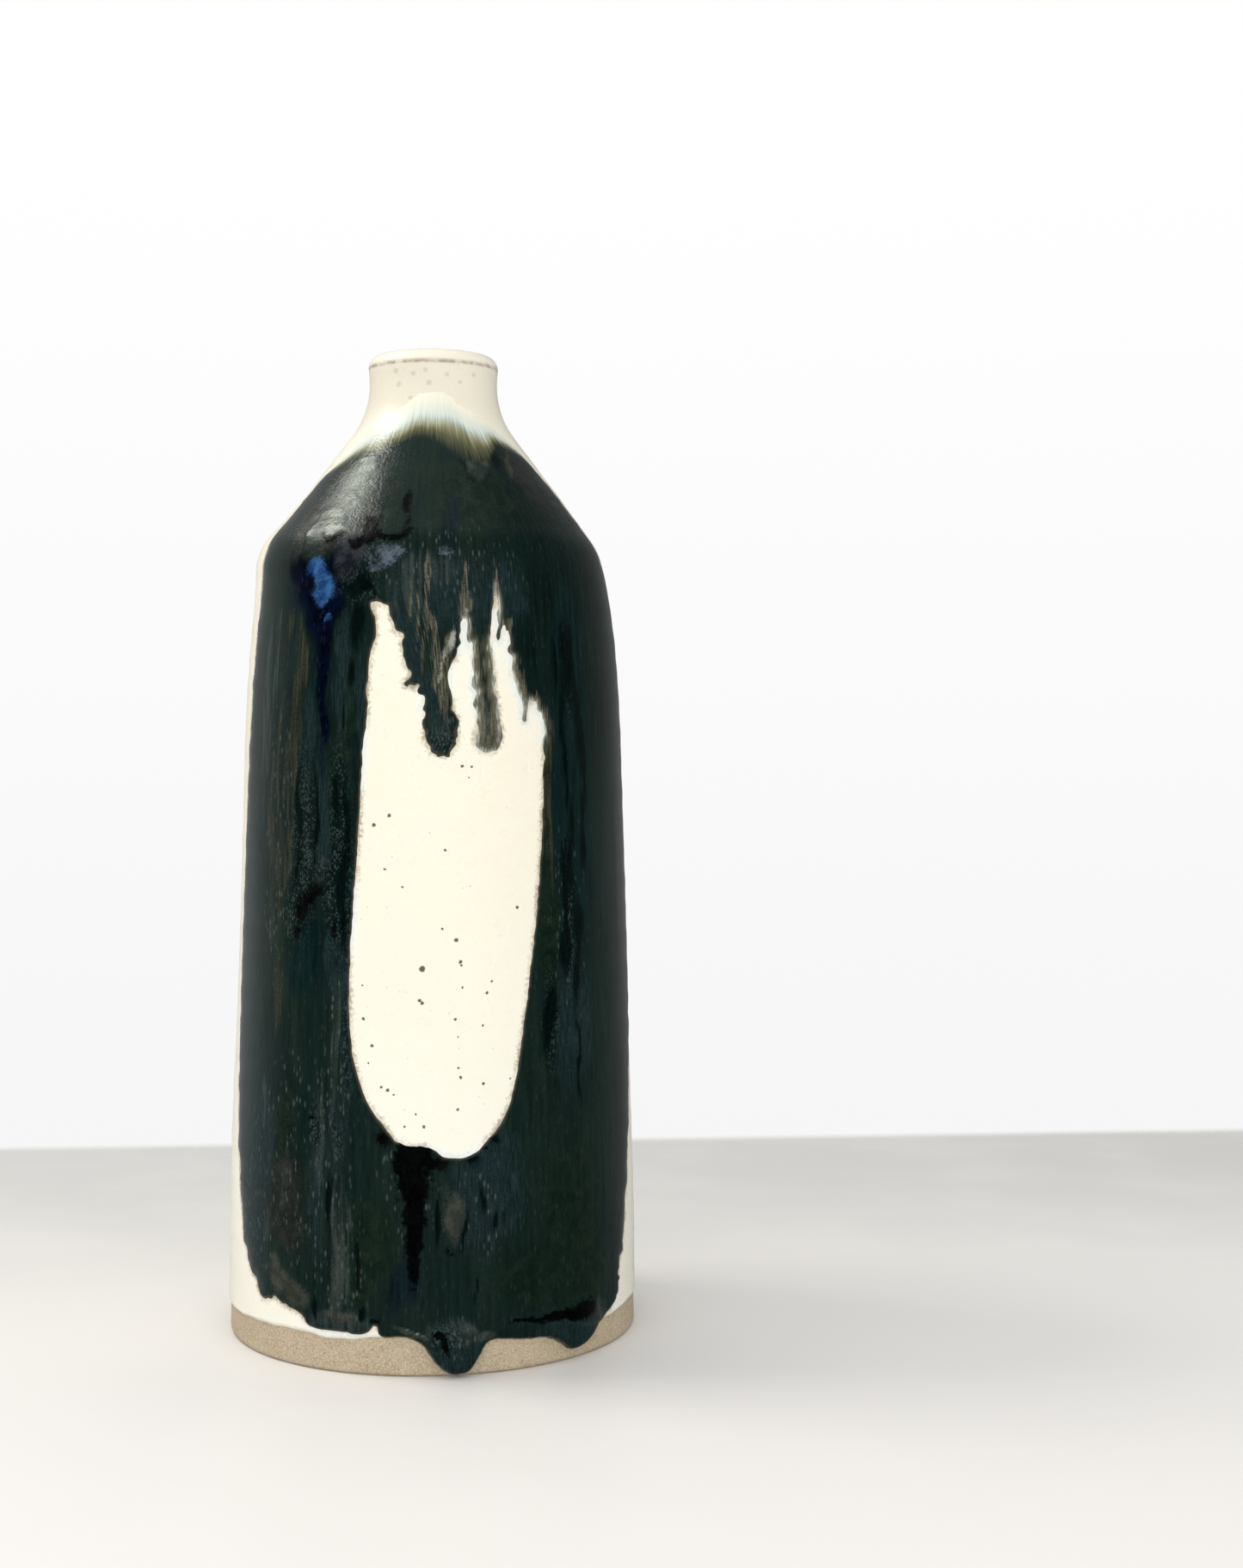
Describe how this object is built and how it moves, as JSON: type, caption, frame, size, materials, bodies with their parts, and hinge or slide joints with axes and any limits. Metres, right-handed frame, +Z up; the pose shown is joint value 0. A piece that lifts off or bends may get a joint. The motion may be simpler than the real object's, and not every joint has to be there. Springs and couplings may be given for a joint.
{
  "type": "vase",
  "caption": "Tall stoneware bottle vase with sloping shoulders and a narrow neck, cream glaze under a poured dark green glaze with a cream window, bare clay foot.",
  "frame": {"origin": "centre of the foot, on the surface that the vase stands on", "axes": "+Z up along the wheel's axis; -Y is the front, with the window in the dark glaze"},
  "size_m": [0.1004, 0.1014, 0.2381],
  "materials": {
    "bare_clay": "unglazed, fine grainy stoneware",
    "cream_glaze": "satin cream glaze with iron speckles",
    "dark_glaze": "glossy dark green-black glaze with streaks and runs",
    "liner_glaze": "glossy cream liner glaze"
  },
  "bodies": {
    "root": {"stoneware_body": "bare_clay", "cream_glaze": "cream_glaze", "dark_glaze": "dark_glaze", "liner_glaze": "liner_glaze"}
  },
  "joints": []
}
